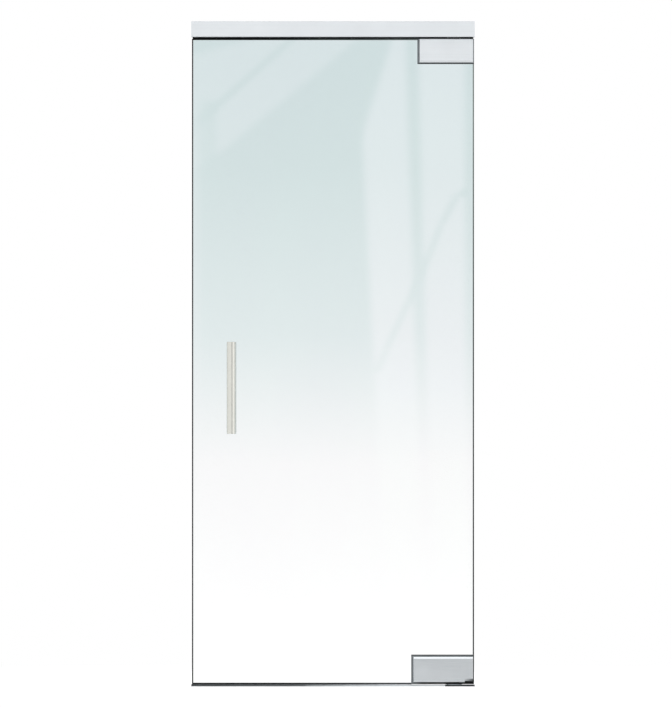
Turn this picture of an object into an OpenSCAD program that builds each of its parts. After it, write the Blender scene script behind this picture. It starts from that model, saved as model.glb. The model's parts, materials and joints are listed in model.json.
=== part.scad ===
// Frameless glass entrance door: one toughened pane hung on a top and a bottom patch fitting,
// under a slim header that hides the door closer, with a ladder pull on each face.
// The origin is on the finished floor, under the middle of the leaf, in the glass's mid-plane.
// +X runs towards the pivot side, -Y is the front, +Z is up. All sizes are in millimetres.

/* [Opening] */
// Width between the walls, which is also the header's length
opening_w = 918; // [800:1:1100]
// Gap between the leaf and the wall on each side
side_gap = 2; // [1:0.5:6]
// Gap between the leaf's top edge and the header
top_gap = 5.5; // [5:0.5:10]
// Gap between the leaf's bottom edge and the floor
floor_gap = 6.5; // [6.5:0.5:14]

/* [Glass leaf] */
// Height of the pane
leaf_h = 2091; // [1900:1:2400]
// Thickness of the pane
glass_t = 12; // [10:1:13]
// Width of the ground arris on the pane's outer edges
arris = 4; // [0.5:0.25:4.5]
// Distance from the pane's heel edge to the pivot axis
pivot_backset = 65; // [58:1:80]

/* [Header] */
// Height of the header
header_h = 50.5; // [46:0.5:70]
// Depth of the header, front to back
header_d = 102; // [98:1:130]
// Wall thickness of the header channel
header_wall = 3; // [2:0.25:4]
// Outer corner radius of the header channel
header_r = 1.5; // [0.5:0.25:2.5]
// How far each bottom lip of the channel turns in
header_lip = 9; // [7:0.5:12]
// Sheet thickness of the snap-in bottom cover
header_cover_t = 2; // [1.5:0.25:3]
// Thickness of the cover's legs and of the walls round its pile slot
cover_leg_t = 2; // [1.5:0.25:3]
// Grip of the cover's barbs on the channel's lips
cover_barb = 1.5; // [0.75:0.25:2.5]
// Width of the pile weatherstrips
pile_w = 5; // [3:0.25:7]
// Width that a strip's backing adds on each side of the pile
pile_back_side = 1.2; // [0.8:0.1:2]
// Thickness of a strip's backing
pile_back_t = 1.6; // [1:0.1:2]
// Depth of the throat that keeps the backing in
pile_throat = 1.2; // [0.8:0.1:1.5]
// Gap between the pile tips and the leaf
pile_gap = 0.6; // [0.4:0.1:2]
// Gap between the header strip's two runs and the spindle's hole
pile_hole_gap = 3; // [1:0.5:8]
// Gap between those runs and the seal round the spindle
seal_gap = 0.3; // [0.2:0.1:2]

/* [Header brackets] */
// Sheet thickness of each end bracket
bracket_t = 4; // [3:0.5:6]
// Spacing of the wall holes, front to back
wall_hole_spacing = 80; // [76:1:84]
// Height of the wall holes above the header's bottom
wall_hole_rise = 30; // [22:1:34]
// Diameter of the wall holes
wall_hole_d = 7; // [5:0.5:8]
// Spacing of the screws in a bracket's tab
tab_screw_spacing = 40; // [24:1:64]
// Diameter of the screws that hold brackets and carrier to the channel
top_screw_d = 5; // [4:0.5:5.5]
// Head diameter of those screws
top_head_d = 9; // [8:0.5:10]

/* [Concealed closer] */
// Length of the closer's main block
closer_l = 200; // [170:1:240]
// Width of the closer's main block
closer_w = 66; // [58:1:68]
// Height of the closer's main block
closer_h = 32; // [29:0.5:33]
// Corner radius of the closer's main block
closer_r = 7; // [3:0.5:10]
// Distance from the spindle to the block's nearer end
closer_tail = 34; // [26:1:38]
// Length of the spring tube
spring_tube_l = 80; // [50:1:110]
// Step from the block down to the spring tube
spring_tube_step = 1; // [0.5:0.25:1.5]
// Wall round the spindle below the block
closer_boss_wall = 4; // [3:0.5:5]
// Height of the boss's end above the header's bottom face
boss_lift = 1; // [0.5:0.25:3]
// Clearance round the boss in the header cover
boss_clear = 2; // [1:0.5:4]
// Distance of the closer's screws from the block's ends
closer_screw_end = 12; // [9:1:16]
// Distance of the closer's screws from the block's sides
closer_screw_side = 9; // [8:0.5:12]
// Diameter of the closer's screws
closer_screw_d = 6; // [5:0.5:6.5]
// Depth of the recess over the closer's screw heads
closer_recess = 7; // [6.5:0.5:10]
// Diameter of the end plugs
plug_d = 24; // [18:1:25]
// Thickness of the end plugs
plug_t = 5; // [4:0.5:8]
// Distance from the spindle to the speed valves
valve_lead = 40; // [26:1:60]
// Diameter of the speed valves
valve_d = 8; // [6:0.5:10]
// Depth of the speed valves
valve_t = 5; // [4:0.5:8]
// Thickness of the carrier plate above the closer
carrier_t = 3; // [2.5:0.25:4]
// How far the carrier plate reaches over the spring tube
carrier_lead = 14; // [12:1:40]
// Diameter of the spindle's journal
spindle_d = 22; // [20:0.5:24]
// Depth of the journal's bore in the block
spindle_seat = 22; // [16:1:26]
// How far the journal stands out below the header
journal_drop = 3; // [1:0.25:4]
// Side of the spindle's square tang
tang = 14; // [11:0.5:15]
// Length of tang inside the top patch
tang_depth = 28; // [20:1:32]

/* [Patch fittings] */
// Width of the top clamp
top_patch_w = 183; // [160:1:220]
// Height of the top clamp
top_patch_h = 79; // [70:1:100]
// Width of the bottom clamp
bottom_patch_w = 203; // [160:1:230]
// Height of the bottom clamp
bottom_patch_h = 92.5; // [70:0.5:110]
// Thickness of a clamp at its rim
clamp_rim_t = 7; // [6.5:0.25:9]
// Height of the raised field that the snap-on cover grips
clamp_field_t = 2.5; // [2:0.25:4]
// Width of the bevel round a clamp's rim
clamp_bevel = 2; // [1:0.25:2.5]
// Sheet thickness of the snap-on covers
patch_cover_t = 1.5; // [1:0.25:2]
// Depth of the bevel round a cover, and its width at the cover's ends
cover_edge = 0.9; // [0.3:0.1:0.9]
// Width of the bevel along a cover's long sides
cover_run = 6; // [1:0.5:10]
// Clamp rim left bare at a cover's inner end
rim_end = 6.5; // [3:0.5:9]
// Clamp rim left bare along the leaf's heel edge
rim_edge = 3.25; // [2:0.25:4]
// Clamp rim left bare above the top covers
top_rim_out = 1; // [0.5:0.25:4]
// Clamp rim left bare below the top covers
top_rim_in = 2.5; // [2:0.25:6]
// Clamp rim left bare below the bottom covers
bottom_rim_out = 6.5; // [2:0.25:8]
// Clamp rim left bare above the bottom covers
bottom_rim_in = 4.25; // [2:0.25:6]
// Width of the relief in the bottom covers' heel corner
relief_w = 30; // [20:1:36]
// Height of the relief in the bottom covers' heel corner
relief_h = 11; // [8:0.5:18]
// Thickness of the gaskets between clamp and glass
gasket_t = 1; // [0.5:0.25:2]
// How far the gaskets show past the clamps' inner ends
gasket_end = 0.5; // [0.25:0.25:2.5]
// How far the gaskets show past the clamps' inner long sides
gasket_long = 2.75; // [0.5:0.25:3]

/* [Patch inserts] */
// Distance of an insert from the leaf's heel edge
insert_margin = 5; // [3:0.5:8]
// Distance of an insert from the leaf's top or bottom edge
insert_drop = 1; // [0.5:0.25:2]
// Distance from the pivot to the insert's inner end
insert_reach = 52; // [48:1:70]
// Height of an insert
insert_h = 40; // [38:1:48]
// Length of the boss round the pivot
insert_boss_w = 44; // [30:1:60]
// Thickness of the boss round the pivot
insert_boss_t = 24; // [22:0.5:26]
// Clearance between an insert and the glass's notch
notch_gap = 3; // [2:0.5:5]
// Corner radius of the glass's notch
notch_r = 10; // [6:1:16]
// Diameter of the clamp screws
clamp_screw_d = 8; // [6:1:9]
// Spacing of the clamp screws, across the pivot
clamp_screw_pitch = 76; // [72:1:86]
// Height of the clamp screws above the leaf's edge
clamp_screw_rise = 27; // [24:1:32]
// Head diameter of the clamp screws
clamp_head_d = 13; // [11:0.5:14]
// Head height of the clamp screws
clamp_head_h = 4.5; // [3.5:0.25:5.5]
// Diameter of the grub screws in the inserts
grub_d = 6; // [5:0.5:8]
// Length of the grub screws in the inserts
grub_l = 14; // [10:1:20]
// Height of the grub screws above the leaf's edge
grub_rise = 13; // [9:1:16]

/* [Floor pivot] */
// Thickness of the threshold and the floor plate
threshold_t = 4; // [4:0.1:4.4]
// Depth of the threshold, front to back
threshold_d = 100; // [90:1:130]
// Run of the threshold's front and back bevels
threshold_bevel = 8; // [4:0.5:10]
// Thickness left at the threshold's front and back edges
threshold_nose = 1; // [0.5:0.25:2]
// Distance from the pivot to the floor plate's inner end
plate_lead = 29; // [20:1:40]
// Diameter of the floor screw holes
floor_hole_d = 6; // [5:0.5:7]
// Diameter of the countersinks over the floor screw holes
floor_csk_d = 11; // [9:0.5:12]
// Distance of the floor screw holes from the bevels
floor_hole_side = 6; // [6:0.5:12]
// Distance of the floor plate's holes from its ends
floor_hole_end = 10; // [7:0.5:13]
// Spacing of the threshold's holes along the opening
threshold_hole_pitch = 600; // [400:10:640]
// Diameter of the pivot pin
pin_d = 15; // [13:0.5:16]
// Diameter of the pin's spigot in the floor plate
pin_spigot_d = 12; // [9:0.5:12.5]
// Diameter of the pin's collar
pin_collar_d = 50; // [18:0.5:56]
// Thickness of the pin's collar
pin_collar_t = 2; // [1:0.25:2]
// Wall thickness of the bronze bush on the pin
bush_wall = 2.4; // [1.5:0.1:2.8]
// Length of the bronze bush
bush_l = 22; // [18:1:24]
// Diameter of the thrust ball on the pin
ball_d = 8; // [6:0.5:10]
// Depth of the ball's seat in the pin
ball_seat = 2.5; // [1.5:0.25:2.75]
// Room for the ball between the bush and the thrust pad
pad_lift = 7; // [6:0.5:8]
// Thickness of the thrust pad
pad_t = 4; // [3:0.5:6]

/* [Pull handles] */
// Distance from the pane's free edge to the pulls
pull_backset = 128; // [60:0.5:160]
// Height of the pulls' middle above the floor
pull_z = 966.5; // [850:0.5:1150]
// Overall length of a pull
pull_l = 298; // [260:1:600]
// Diameter of a pull's tube
pull_d = 30; // [25:0.5:38]
// Wall thickness of a pull's tube
pull_wall = 2; // [1.5:0.25:3]
// Thickness of a tube's end caps
cap_t = 1.5; // [1:0.25:4]
// Chamfer round an end cap
cap_chamfer = 0.5; // [0.2:0.1:0.8]
// Depth of an end cap's plug in the tube
cap_plug = 8; // [4:0.5:14]
// Distance between a pull's two posts
post_pitch = 200; // [150:1:220]
// Diameter of the posts
post_d = 22; // [19:0.5:24]
// Hand clearance between glass and tube
hand_gap = 45; // [42:1:65]
// Solid end left in a post behind the tube
post_web = 6; // [4:0.5:8]
// Diameter of the screws that hold a tube to its posts
tube_screw_d = 6; // [5:0.5:6.5]
// Head height of the screws that hold a tube to its posts
tube_head_h = 6; // [4:0.5:7]
// Diameter of the studs through the glass
stud_d = 10; // [8:0.5:12]
// Length of stud inside each post
stud_seat = 19; // [15:1:24]
// Diameter of the holes in the glass for the studs
stud_hole_d = 16; // [14:0.5:18]
// Thickness of the washers against the glass
washer_t = 1; // [0.5:0.25:2]
// Diameter of the grub screws in the posts
post_grub_d = 5; // [4:0.5:6]
// Distance of the grub screws from the post's foot
post_grub_side = 9; // [6:0.5:12]

/* [Hidden] */
$fn = 64;
// How far a cut, or a solid that joins another, reaches past the face that it meets
over = 1;
// Clearances of pieces that seat on, snap onto, turn in and bear on each other
seat_gap = 0.1;
snap_gap = 0.3;
run_gap = 0.05;
bear_gap = 0.3;
// Gap between a bracket's tab and the closer, and metal left over the end of a blind thread
tab_gap = 1;
thread_land = 1;

// Leaf and header levels
leaf_w = opening_w - 2 * side_gap;
leaf_x1 = leaf_w / 2;
leaf_x0 = -leaf_x1;
leaf_z0 = floor_gap;
leaf_z1 = leaf_z0 + leaf_h;
header_z0 = leaf_z1 + top_gap;
header_z1 = header_z0 + header_h;
header_x1 = opening_w / 2;
ceiling_z = header_z1 - header_wall;
pivot_x = leaf_x1 - pivot_backset;

// Header channel and its snap-in cover
inner_d = header_d - 2 * header_wall;
inner_fit = inner_d - 2 * snap_gap;
slot_w = inner_d - 2 * header_lip;
cover_w = slot_w - 2 * snap_gap;
cover_l = opening_w - 2 * (bracket_t + snap_gap);
pile_back_w = pile_w + 2 * pile_back_side;
pile_slot_h = pile_throat + pile_back_t + 2 * seat_gap;

// Closer, hung from its carrier plate
closer_x1 = pivot_x + closer_tail;
closer_x0 = closer_x1 - closer_l;
closer_z1 = ceiling_z - carrier_t;
closer_z0 = closer_z1 - closer_h;
closer_axis_z = (closer_z0 + closer_z1) / 2;
closer_boss_d = spindle_d + 2 * closer_boss_wall;
closer_screw_x = [closer_x0 + closer_screw_end, closer_x1 - closer_screw_end];
closer_screw_y = closer_w / 2 - closer_screw_side;
closer_head_d = 1.7 * closer_screw_d;
spring_tube_x0 = closer_x0 - spring_tube_l;
spring_tube_d = closer_h - 2 * spring_tube_step;
spindle_hole_d = closer_boss_d + 2 * boss_clear;
pile_break = spindle_hole_d + 2 * pile_hole_gap;
carrier_x0 = closer_x0 - carrier_lead;
carrier_screw_x = [carrier_x0 + top_head_d, closer_x1 - closer_screw_end - 2 * top_head_d];
carrier_screw_y = (closer_w + inner_fit) / 4;

// End brackets, whose tabs stop just short of the closer
bracket_tab = header_x1 - bracket_t - closer_x1 - tab_gap;
bracket_screw_x = header_x1 - bracket_t - bracket_tab / 2;
bracket_screw_y = tab_screw_spacing / 2;

// Each patch's width, height, and rims left bare along its outer and its inner long side
top_patch = [top_patch_w, top_patch_h, top_rim_out, top_rim_in];
bottom_patch = [bottom_patch_w, bottom_patch_h, bottom_rim_out, bottom_rim_in];

// Patch stack, counted from the glass's mid-plane outwards
clamp_y0 = glass_t / 2 + gasket_t;
clamp_y1 = clamp_y0 + clamp_rim_t;
clamp_y2 = clamp_y1 + clamp_field_t;
clamp_seat_y = clamp_y2 - clamp_head_h - seat_gap;
insert_bar_t = 2 * (clamp_y0 - seat_gap);
insert_x1 = pivot_backset + insert_reach;
insert_z1 = insert_drop + insert_h;
insert_r = notch_r - notch_gap;

// Floor pivot, bearing in the bottom insert
plate_x0 = pivot_x - plate_lead;
threshold_x0 = -header_x1;
threshold_x1 = plate_x0 - snap_gap;
threshold_mid = (threshold_x0 + threshold_x1) / 2;
threshold_pile_x1 = leaf_x1 - bottom_patch_w;
threshold_hole_x = [for (side = [-1, 1]) threshold_mid + side * threshold_hole_pitch / 2];
plate_hole_x = [plate_x0 + floor_hole_end, header_x1 - floor_hole_end];
floor_hole_y = threshold_d / 2 - threshold_bevel - floor_hole_side;
bush_d = pin_d + 2 * (run_gap + bush_wall);
bush_z = leaf_z0 + insert_drop;
pad_z = bush_z + bush_l + pad_lift;
pin_top = pad_z - bear_gap - ball_d + ball_seat;
ball_z = pin_top - ball_seat + ball_d / 2;

// Pull handles
pull_x = leaf_x0 + pull_backset;
post_y0 = glass_t / 2 + washer_t;
pull_y = glass_t / 2 + hand_gap + pull_d / 2;
post_seat_y = pull_y - pull_d / 2 - post_web;
stud_bore_d = stud_d + 2 * seat_gap;
tube_head_d = stud_bore_d - 2 * snap_gap;

metal_pale = "#dfe3e6";
metal_mid = "#c1c5c8";
metal_warm = "#d6d3cc";
cast_grey = "#6c7174";
steel_dark = "#4a4d50";
zinc = "#9aa0a4";
black = "#16181a";
pile_grey = "#6b6e70";
glass_tint = [0.78, 0.88, 0.87, 0.4];
bronze = "#a87f45";
nylon = "#e9e8e2";

// Extrudes a Y-Z profile along X from x0 to x1
module along_x(x0, x1) {
    translate([x0, 0, 0]) rotate([90, 0, 90]) linear_extrude(x1 - x0) children();
}

// Plate in the X-Z plane from y = -y1 to y = -y0
module plate_xz(y0, y1) {
    translate([0, -y0, 0]) rotate([90, 0, 0]) linear_extrude(y1 - y0) children();
}

// Copies at each x of a list, on both sides of the mid-plane
module paired(xs, y) {
    for (x = xs, side = [-1, 1]) translate([x, side * y, 0]) children();
}

// Moves a front piece to the rear face
module rear() mirror([0, 1, 0]) children();

// Front and rear copies
module both_faces() {
    children();
    rear() children();
}

// Rectangle with round corners, standing on its base line and centred across it
module round_rect(w, h, r) {
    translate([-w / 2 + r, 0]) square([w - 2 * r, h]);
    translate([-w / 2, r]) square([w, h - 2 * r]);
    for (side = [-1, 1], z = [r, h - r]) translate([side * (w / 2 - r), z]) circle(r);
}

// Closed outline from the points of its right half, in order, and their mirror images
module mirrored_outline(half) {
    polygon(concat(half, [for (i = [len(half) - 1:-1:0]) [-half[i][0], half[i][1]]]));
}

// Slab on the plane y = -y0, with bevels of one depth round its outer face. They are as wide as they
// are deep at the slab's ends, and as wide as a given run along its long sides.
module bevelled_slab(w, h, y0, t, bevel, run) {
    intersection() {
        linear_extrude(h) polygon([
            [0, -y0], [w, -y0], [w, -y0 - t + bevel], [w - bevel, -y0 - t],
            [bevel, -y0 - t], [0, -y0 - t + bevel]
        ]);
        along_x(0, w) polygon([
            [-y0, 0], [-y0, h], [-y0 - t + bevel, h], [-y0 - t, h - run],
            [-y0 - t, run], [-y0 - t + bevel, 0]
        ]);
    }
}

// Socket-head screw along +Z: its head lies below z = 0, its shank runs up to z = len
module socket_screw(d, len, head_d, head_h) {
    difference() {
        union() {
            translate([0, 0, -head_h]) cylinder(d = head_d, h = head_h);
            cylinder(d = d, h = len);
        }
        translate([0, 0, -head_h - over]) cylinder(d = 0.8 * d, h = head_h / 2 + over, $fn = 6);
    }
}

// Countersunk screw along +Z: its flat head lies in the plane z = 0
module countersunk_screw(d, len, head_d) {
    difference() {
        union() {
            cylinder(d1 = head_d, d2 = d, h = (head_d - d) / 2);
            cylinder(d = d, h = len);
        }
        translate([0, 0, -over]) cylinder(d = 0.6 * d, h = d / 4 + over, $fn = 6);
    }
}

// Hole for a countersunk screw along +Z, with the head's flat in the plane z = 0
module countersunk_hole(d, len, head_d) {
    cylinder(d1 = head_d, d2 = d, h = (head_d - d) / 2);
    translate([0, 0, -over]) cylinder(d = head_d, h = over);
    translate([0, 0, -over]) cylinder(d = d, h = len + 2 * over);
}

// Headless screw with a hex socket, along +Z from z = 0
module grub_screw(d, len) {
    difference() {
        cylinder(d = d, h = len);
        translate([0, 0, -over]) cylinder(d = d / 2, h = min(d, len) / 2 + over, $fn = 6);
    }
}

// Header channel: a C-section, open at the bottom between two lips, drilled on top for its screws
module header_channel() {
    color(metal_pale) difference() {
        along_x(-header_x1, header_x1) translate([0, header_z0]) difference() {
            round_rect(header_d, header_h, header_r);
            translate([-inner_d / 2, header_wall]) square([inner_d, header_h - 2 * header_wall]);
            translate([-slot_w / 2, -over]) square([slot_w, header_wall + 2 * over]);
        }
        paired(carrier_screw_x, carrier_screw_y) top_screw_hole();
        paired([-bracket_screw_x, bracket_screw_x], bracket_screw_y) top_screw_hole();
    }
}

module top_screw_hole() {
    translate([0, 0, ceiling_z - over])
        cylinder(d = top_screw_d + 2 * seat_gap, h = header_wall + 2 * over);
}

// Screw from below, through a sheet under the channel's top wall and up into that wall
module top_screw(sheet_t) {
    translate([0, 0, ceiling_z - sheet_t])
        countersunk_screw(top_screw_d, sheet_t + header_wall - seat_gap, top_head_d);
}

module top_screw_seat(sheet_t) {
    translate([0, 0, ceiling_z - sheet_t])
        countersunk_hole(top_screw_d + 2 * seat_gap, sheet_t, top_head_d + 2 * seat_gap);
}

// T-slot for a pile strip, opening downwards at height 0
module pile_slot() {
    translate([-pile_w / 2 - seat_gap, -over])
        square([pile_w + 2 * seat_gap, pile_throat + 2 * over]);
    translate([-pile_back_w / 2 - seat_gap, pile_throat])
        square([pile_back_w + 2 * seat_gap, pile_back_t + 2 * seat_gap]);
}

// Section of the pile strip in that slot, with its tips hanging down to the leaf across a gap
module pile_section(gap) {
    back_z = pile_throat + seat_gap;
    drop = gap - pile_gap;
    translate([-pile_back_w / 2, back_z]) square([pile_back_w, pile_back_t]);
    translate([-pile_w / 2, -drop]) square([pile_w, drop + back_z + pile_back_t]);
}

// Bottom cover: barbed legs snap over the channel's lips, and a T-slot holds the pile strip
module header_cover() {
    edge = cover_w / 2;
    boss = pile_back_w / 2 + seat_gap + cover_leg_t;
    barb_top = header_wall + 2 * cover_barb;
    color(metal_pale) difference() {
        along_x(-cover_l / 2, cover_l / 2) translate([0, header_z0]) difference() {
            mirrored_outline([
                [edge, 0], [edge, header_wall], [edge + snap_gap + cover_barb, header_wall],
                [edge, barb_top], [edge - cover_leg_t, barb_top], [edge - cover_leg_t, header_cover_t],
                [boss, header_cover_t], [boss, pile_slot_h + cover_leg_t]
            ]);
            pile_slot();
        }
        translate([pivot_x, 0, header_z0 - over]) cylinder(d = spindle_hole_d, h = header_h);
    }
}

// Header's pile strip in two runs, one on each side of the spindle
module pile_strip() {
    runs = [[-cover_l / 2, pivot_x - pile_break / 2], [pivot_x + pile_break / 2, cover_l / 2]];
    color(black) for (run = runs) along_x(run[0], run[1])
        translate([0, header_z0]) pile_section(top_gap);
}

// Right-hand end bracket: a wall plate with a tongue in the channel's slot, and a tab on top
module header_bracket() {
    plate_x = header_x1 - bracket_t;
    plate_z = header_z0 + header_wall + snap_gap;
    difference() {
        union() {
            translate([plate_x, -inner_fit / 2, plate_z])
                cube([bracket_t, inner_fit, ceiling_z - plate_z]);
            translate([plate_x, -cover_w / 2, header_z0])
                cube([bracket_t, cover_w, plate_z - header_z0 + over]);
            translate([plate_x - bracket_tab, -inner_fit / 2, ceiling_z - bracket_t])
                cube([bracket_tab + over, inner_fit, bracket_t]);
        }
        for (side = [-1, 1])
            translate([plate_x - over, side * wall_hole_spacing / 2, header_z0 + wall_hole_rise])
                rotate([0, 90, 0]) cylinder(d = wall_hole_d, h = bracket_t + 2 * over);
        paired([bracket_screw_x], bracket_screw_y) top_screw_seat(bracket_t);
    }
}

module header_bracket_left() color(zinc) mirror([1, 0, 0]) header_bracket();
module header_bracket_right() color(zinc) header_bracket();
module header_bracket_screws() color(zinc)
    paired([-bracket_screw_x, bracket_screw_x], bracket_screw_y) top_screw(bracket_t);

// Carrier plate: screwed up into the channel, with the closer screwed up into it
module closer_carrier() {
    color(zinc) difference() {
        translate([carrier_x0, -inner_fit / 2, closer_z1])
            cube([closer_x1 - carrier_x0, inner_fit, carrier_t]);
        paired(carrier_screw_x, carrier_screw_y) top_screw_seat(carrier_t);
        paired(closer_screw_x, closer_screw_y) translate([0, 0, closer_z1 - over])
            cylinder(d = closer_screw_d + 2 * seat_gap, h = carrier_t + 2 * over);
    }
}

module carrier_screws() color(zinc)
    paired(carrier_screw_x, carrier_screw_y) top_screw(carrier_t);

// Closer casting: rounded block, spring tube and spindle boss, bored for its plugs and screws
module closer_body() {
    color(cast_grey) difference() {
        union() {
            along_x(closer_x0, closer_x1) translate([0, closer_z0])
                round_rect(closer_w, closer_h, closer_r);
            translate([spring_tube_x0, 0, closer_axis_z]) rotate([0, 90, 0])
                cylinder(d = spring_tube_d, h = spring_tube_l + over);
            translate([pivot_x, 0, header_z0 + boss_lift])
                cylinder(d = closer_boss_d, h = closer_z0 + over - header_z0 - boss_lift);
        }
        translate([pivot_x, 0, header_z0])
            cylinder(d = spindle_d + 2 * run_gap, h = closer_z0 + spindle_seat - header_z0);
        for (x = [spring_tube_x0 - over, closer_x1 - plug_t])
            translate([x, 0, closer_axis_z]) rotate([0, 90, 0])
                cylinder(d = plug_d + 2 * seat_gap, h = plug_t + over);
        at_closer_valves() translate([0, 0, -over])
            cylinder(d = valve_d + 2 * seat_gap, h = valve_t + over);
        paired(closer_screw_x, closer_screw_y) translate([0, 0, closer_z0 - over]) {
            cylinder(d = closer_screw_d + 2 * seat_gap, h = closer_h + 2 * over);
            cylinder(d = closer_head_d + 2 * snap_gap, h = closer_recess + over);
        }
    }
}

// Threaded plugs with hex sockets: one closes the spring tube, one the block's other end
module closer_plugs() {
    len = plug_t - seat_gap;
    color(zinc) {
        translate([spring_tube_x0 + len, 0, closer_axis_z]) rotate([0, -90, 0]) closer_plug(len);
        translate([closer_x1 - len, 0, closer_axis_z]) rotate([0, 90, 0]) closer_plug(len);
    }
}

module closer_plug(len) {
    difference() {
        cylinder(d = plug_d, h = len);
        translate([0, 0, len / 2]) cylinder(d = plug_d / 2, h = len, $fn = 6);
    }
}

// Places of the speed valves in the block's underside
module at_closer_valves() {
    paired([pivot_x - valve_lead], closer_w / 4) translate([0, 0, closer_z0]) children();
}

module closer_valves() color(zinc) at_closer_valves() grub_screw(valve_d, valve_t - seat_gap);

module closer_screws() color(zinc)
    paired(closer_screw_x, closer_screw_y) translate([0, 0, closer_z0 + closer_recess])
        socket_screw(
            closer_screw_d, closer_h + carrier_t - closer_recess - seat_gap,
            closer_head_d, closer_screw_d
        );

// Spindle: a round journal in the closer and a square tang in the top insert
module closer_spindle() {
    journal_z = header_z0 - journal_drop;
    tang_z = leaf_z1 - insert_drop - tang_depth;
    color(steel_dark) {
        translate([pivot_x, 0, journal_z])
            cylinder(d = spindle_d, h = closer_z0 + spindle_seat - seat_gap - journal_z);
        translate([pivot_x - tang / 2, -tang / 2, tang_z])
            cube([tang, tang, journal_z + over - tang_z]);
    }
}

// Rubber ring on the journal that closes the gap between the header and the top patch
module spindle_seal() {
    color(black) translate([pivot_x, 0, leaf_z1]) difference() {
        cylinder(d = pile_break - 2 * seal_gap, h = top_gap - bear_gap);
        translate([0, 0, -over]) cylinder(d = spindle_d + 2 * seat_gap, h = top_gap + over);
    }
}

// Floor strip: flat on top, with a bevel along its front and its back
module floor_strip(x0, x1) {
    edge = threshold_d / 2;
    along_x(x0, x1) mirrored_outline([
        [edge, 0], [edge, threshold_nose], [edge - threshold_bevel, threshold_t]
    ]);
}

module floor_hole() {
    translate([0, 0, threshold_t]) mirror([0, 0, 1])
        countersunk_hole(floor_hole_d, threshold_t, floor_csk_d);
}

// Threshold: screwed to the floor, with a T-slot along its middle for a pile strip
module threshold() {
    color(metal_mid) difference() {
        floor_strip(threshold_x0, threshold_x1);
        paired(threshold_hole_x, floor_hole_y) floor_hole();
        along_x(threshold_x0 - over, threshold_x1 + over)
            translate([0, threshold_t]) mirror([0, 1]) pile_slot();
    }
}

// The threshold's pile seals the glass, and stops where the bottom patch starts
module threshold_pile() {
    color(pile_grey) along_x(threshold_x0, threshold_pile_x1)
        translate([0, threshold_t]) mirror([0, 1]) pile_section(floor_gap - threshold_t);
}

module floor_pivot_plate() {
    color(steel_dark) difference() {
        floor_strip(plate_x0, header_x1);
        paired(plate_hole_x, floor_hole_y) floor_hole();
        translate([pivot_x, 0, -over])
            cylinder(d = pin_spigot_d + 2 * seat_gap, h = threshold_t + 2 * over);
    }
}

// Pivot pin: a spigot in the floor plate, a collar on it, and a seat for the ball on top
module floor_pivot_pin() {
    color(zinc) translate([pivot_x, 0, 0]) difference() {
        union() {
            cylinder(d = pin_spigot_d, h = threshold_t + over);
            translate([0, 0, threshold_t]) cylinder(d = pin_collar_d, h = pin_collar_t);
            translate([0, 0, threshold_t]) cylinder(d = pin_d, h = pin_top - threshold_t);
        }
        translate([0, 0, ball_z]) sphere(d = ball_d + 2 * seat_gap);
    }
}

module thrust_ball() color(zinc) translate([pivot_x, 0, ball_z]) sphere(d = ball_d);

// Frame of a patch: x runs from the heel edge into the leaf, z from the leaf's edge into the leaf
module at_top_corner() translate([leaf_x1, 0, leaf_z1]) rotate([0, 180, 0]) children();
module at_bottom_corner() translate([leaf_x1, 0, leaf_z0]) mirror([1, 0, 0]) children();

// Rectangle between two corners, with the corner furthest into the leaf rounded
module corner_outline(x0, z0, x1, z1, r) {
    translate([x0, z0]) square([x1 - r - x0, z1 - z0]);
    translate([x0, z0]) square([x1 - x0, z1 - r - z0]);
    translate([x1 - r, z1 - r]) circle(r);
}

// Corner notch that the glass and the gaskets leave round the insert
module notch_outline() {
    corner_outline(-over, -over, insert_x1 + notch_gap, insert_z1 + notch_gap, notch_r);
}

// Toughened pane with arrised edges, two corner notches and two holes for the pulls
module glass_leaf() {
    t = glass_t / 2;
    color(glass_tint) difference() {
        intersection() {
            translate([0, 0, leaf_z0]) linear_extrude(leaf_h) polygon([
                [leaf_x0, arris - t], [leaf_x0 + arris, -t], [leaf_x1 - arris, -t],
                [leaf_x1, arris - t], [leaf_x1, t - arris], [leaf_x1 - arris, t],
                [leaf_x0 + arris, t], [leaf_x0, t - arris]
            ]);
            along_x(leaf_x0, leaf_x1) polygon([
                [arris - t, leaf_z0], [t - arris, leaf_z0], [t, leaf_z0 + arris],
                [t, leaf_z1 - arris], [t - arris, leaf_z1], [arris - t, leaf_z1],
                [-t, leaf_z1 - arris], [-t, leaf_z0 + arris]
            ]);
        }
        at_top_corner() plate_xz(-glass_t, glass_t) notch_outline();
        at_bottom_corner() plate_xz(-glass_t, glass_t) notch_outline();
        at_posts() translate([0, 0, -glass_t]) cylinder(d = stud_hole_d, h = 2 * glass_t);
    }
}

// Width and height of a patch's cover
function cover_size(patch) = [patch[0] - rim_edge - rim_end, patch[1] - patch[2] - patch[3]];

// Outline of a patch's cover, set in by a margin, with a relief at the leaf's corner
module cover_outline(patch, relief, inset) {
    size = cover_size(patch);
    difference() {
        translate([rim_edge + inset, patch[2] + inset])
            square([size[0] - 2 * inset, size[1] - 2 * inset]);
        if (relief)
            translate([-over, -over])
                square([relief_w + inset + over, relief_h + inset + over]);
    }
}

// Places of a patch's clamp screws, with +Z towards the front
module at_clamp_screws() {
    for (side = [-1, 1])
        translate([pivot_backset + side * clamp_screw_pitch / 2, 0, clamp_screw_rise])
            rotate([90, 0, 0]) children();
}

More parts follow.
